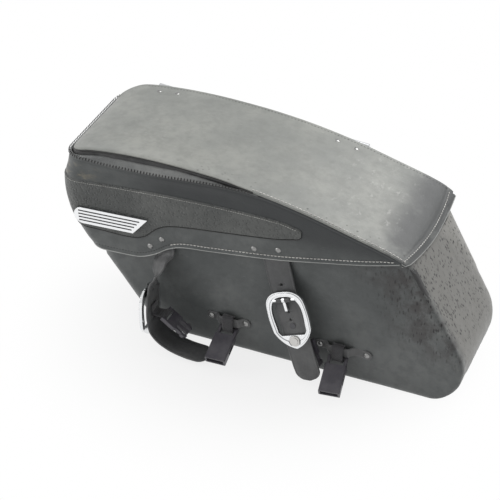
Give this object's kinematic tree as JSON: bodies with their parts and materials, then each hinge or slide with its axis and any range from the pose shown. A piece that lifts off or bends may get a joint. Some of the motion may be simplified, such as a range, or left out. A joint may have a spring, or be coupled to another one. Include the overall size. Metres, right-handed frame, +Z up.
{
  "type": "motorcycle saddlebag",
  "caption": "Left-hand hard-lined leather motorcycle saddlebag: slanted body, hinged domed lid with nose skirt, decorative buckled straps and quick-release clips.",
  "frame": {"origin": "on the flat base, below the middle of the bag", "axes": "+X to the rear end, +Y to the wheel side, +Z up"},
  "size_m": [0.5927, 0.2532, 0.2942],
  "materials": {
    "body_leather": "worn black, satin",
    "lid_leather": "worn black, satin",
    "embossed_leather": "coarse embossed black",
    "liner_plastic": "matt moulded black",
    "strap_leather": "smooth black strap",
    "webbing": "woven black",
    "clip_plastic": "moulded dark grey",
    "bright_chrome": "polished",
    "pewter": "antique plated",
    "plated_steel": "zinc plated",
    "rivet_nickel": "aged nickel",
    "grommet_rubber": "matt"
  },
  "bodies": {
    "bag": {"outboard_panel": "body_leather", "back_panel": "body_leather", "gusset_panel": "body_leather", "outboard_liner": "liner_plastic", "back_liner": "liner_plastic", "gusset_liner": "liner_plastic", "backing_plates": "plated_steel", "mount_grommets": "grommet_rubber", "hinge_front_body_leaf": "plated_steel", "hinge_front_pin": "plated_steel", "hinge_rear_body_leaf": "plated_steel", "hinge_rear_pin": "plated_steel", "hinge_body_rivets": "rivet_nickel", "anchor_front": "strap_leather", "anchor_front_rivets": "rivet_nickel", "socket_front_webbing": "webbing", "anchor_rear": "strap_leather", "anchor_rear_rivets": "rivet_nickel", "socket_rear_webbing": "webbing"},
    "lid": {"lid_side_panel": "lid_leather", "lid_liner": "liner_plastic", "lid_top_panel": "lid_leather", "lid_corner_welt": "lid_leather", "lid_texture_panel": "embossed_leather", "badge": "bright_chrome", "badge_nuts": "plated_steel", "hinge_front_lid_leaf": "plated_steel", "hinge_rear_lid_leaf": "plated_steel", "hinge_lid_rivets": "rivet_nickel", "strap_front_root": "strap_leather", "strap_front_rivets": "rivet_nickel", "strap_rear_root": "strap_leather", "strap_rear_rivets": "rivet_nickel"},
    "strap_front": {"strap_front": "strap_leather", "keeper_front": "strap_leather", "post_front": "bright_chrome", "plug_front_webbing": "webbing"},
    "buckle_front": {"buckle_front": "bright_chrome", "medallion_front": "pewter"},
    "tongue_front": {"tongue_front": "bright_chrome"},
    "plug_front": {"plug_front": "clip_plastic"},
    "plug_front_arm_near": {"plug_front_arm_near": "clip_plastic"},
    "plug_front_arm_far": {"plug_front_arm_far": "clip_plastic"},
    "socket_front": {"socket_front": "clip_plastic"},
    "strap_rear": {"strap_rear": "strap_leather", "keeper_rear": "strap_leather", "post_rear": "bright_chrome", "plug_rear_webbing": "webbing"},
    "buckle_rear": {"buckle_rear": "bright_chrome", "medallion_rear": "pewter"},
    "tongue_rear": {"tongue_rear": "bright_chrome"},
    "plug_rear": {"plug_rear": "clip_plastic"},
    "plug_rear_arm_near": {"plug_rear_arm_near": "clip_plastic"},
    "plug_rear_arm_far": {"plug_rear_arm_far": "clip_plastic"},
    "socket_rear": {"socket_rear": "clip_plastic"}
  },
  "joints": [
    {"name": "lid_hinge", "type": "hinge", "parent": "bag", "child": "lid", "pos_m": [-0.12675, 0.096, 0.27303], "axis": [-0.9972, 0, 0.0753], "range_deg": [0, 105]},
    {"name": "strap_front_swing", "type": "hinge", "parent": "lid", "child": "strap_front", "pos_m": [-0.1945, -0.0934, 0.1432], "axis": [-0.8118, 0, -0.5839], "range_deg": [0, 45]},
    {"name": "buckle_front_tilt", "type": "hinge", "parent": "strap_front", "child": "buckle_front", "pos_m": [-0.2047, -0.1232, 0.094], "axis": [0, 1, 0], "range_deg": [0, 8]},
    {"name": "tongue_front_swing", "type": "hinge", "parent": "buckle_front", "child": "tongue_front", "pos_m": [-0.2047, -0.1232, 0.094], "axis": [0, 1, 0], "range_deg": [0, 110]},
    {"name": "plug_front_swing", "type": "hinge", "parent": "strap_front", "child": "plug_front", "pos_m": [-0.178, -0.1245, 0.062], "axis": [0, -1, 0], "range_deg": [0, 60]},
    {"name": "plug_front_squeeze_near", "type": "hinge", "parent": "plug_front", "child": "plug_front_arm_near", "pos_m": [-0.16024, -0.1341, 0.04868], "axis": [0.6, 0, 0.8], "range_deg": [0, 7], "stiffness_Nm_per_rad": 0.02},
    {"name": "plug_front_squeeze_far", "type": "hinge", "parent": "plug_front", "child": "plug_front_arm_far", "pos_m": [-0.16024, -0.1149, 0.04868], "axis": [-0.6, 0, -0.8], "range_deg": [0, 7], "stiffness_Nm_per_rad": 0.02},
    {"name": "socket_front_swing", "type": "hinge", "parent": "bag", "child": "socket_front", "pos_m": [-0.096, -0.0973, 0.041], "axis": [-0.9994, -0.0349, 0], "range_deg": [0, 50]},
    {"name": "strap_rear_swing", "type": "hinge", "parent": "lid", "child": "strap_rear", "pos_m": [-0.027, -0.0934, 0.1776], "axis": [-0.982, 0, -0.189], "range_deg": [0, 80]},
    {"name": "buckle_rear_tilt", "type": "hinge", "parent": "strap_rear", "child": "buckle_rear", "pos_m": [-0.00909, -0.10973, 0.12749], "axis": [-0.9273, -0.0013, -0.3742], "range_deg": [0, 8]},
    {"name": "tongue_rear_swing", "type": "hinge", "parent": "buckle_rear", "child": "tongue_rear", "pos_m": [-0.00909, -0.10973, 0.12749], "axis": [-0.9273, -0.0013, -0.3742], "range_deg": [0, 110]},
    {"name": "plug_rear_swing", "type": "hinge", "parent": "strap_rear", "child": "plug_rear", "pos_m": [0.022, -0.1055, 0.062], "axis": [0.9298, 0, 0.3679], "range_deg": [-6, 12]},
    {"name": "plug_rear_squeeze_near", "type": "hinge", "parent": "plug_rear", "child": "plug_rear_arm_near", "pos_m": [0.03909, -0.1055, 0.04489], "axis": [0, 1, 0], "range_deg": [0, 7], "stiffness_Nm_per_rad": 0.02},
    {"name": "plug_rear_squeeze_far", "type": "hinge", "parent": "plug_rear", "child": "plug_rear_arm_far", "pos_m": [0.02124, -0.1055, 0.03782], "axis": [0, -1, 0], "range_deg": [0, 7], "stiffness_Nm_per_rad": 0.02},
    {"name": "socket_rear_swing", "type": "hinge", "parent": "bag", "child": "socket_rear", "pos_m": [0.067, -0.0973, 0.041], "axis": [-0.9925, -0.1219, 0], "range_deg": [0, 50]}
  ],
  "couplings": [
    {"joint": "plug_front_squeeze_far", "follows": "plug_front_squeeze_near", "ratio": 1},
    {"joint": "plug_rear_squeeze_far", "follows": "plug_rear_squeeze_near", "ratio": 1}
  ]
}
